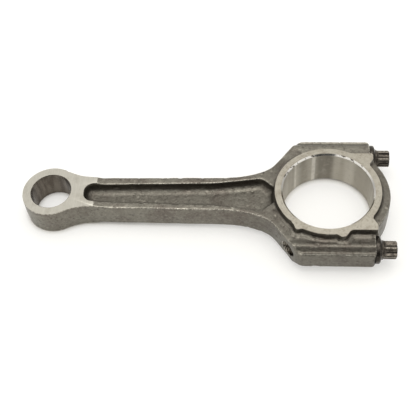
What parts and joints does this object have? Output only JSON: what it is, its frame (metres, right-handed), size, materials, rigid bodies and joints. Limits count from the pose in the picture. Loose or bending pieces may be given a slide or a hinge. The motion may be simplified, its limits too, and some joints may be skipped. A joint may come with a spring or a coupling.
{
  "type": "connecting rod",
  "caption": "Forged I-beam connecting rod with a split bearing cap held by flanged cap bolts, linking a piston pin to a crankpin.",
  "frame": {"origin": "centre of the big-end bore, half way through its thickness", "axes": "+X along the beam from the small end to the cap, +Z along both bore axes, +Y to the left when looking along +X"},
  "size_m": [0.1927, 0.0726, 0.021],
  "materials": {
    "forged_steel": "forged scale with machined faces",
    "bolt_steel": "dark phosphated"
  },
  "bodies": {
    "rod": {"rod_body": "forged_steel"},
    "cap": {"bearing_cap": "forged_steel"},
    "left_bolt": {"cap_bolt_left": "bolt_steel"},
    "right_bolt": {"cap_bolt_right": "bolt_steel"}
  },
  "joints": [
    {"name": "cap_lift", "type": "slide", "parent": "rod", "child": "cap", "axis": [1, 0, 0], "range_m": [0, 0.05]},
    {"name": "left_bolt_out", "type": "slide", "parent": "cap", "child": "left_bolt", "axis": [1, 0, 0], "range_m": [0, 0.045]},
    {"name": "right_bolt_out", "type": "slide", "parent": "cap", "child": "right_bolt", "axis": [1, 0, 0], "range_m": [0, 0.045]}
  ]
}
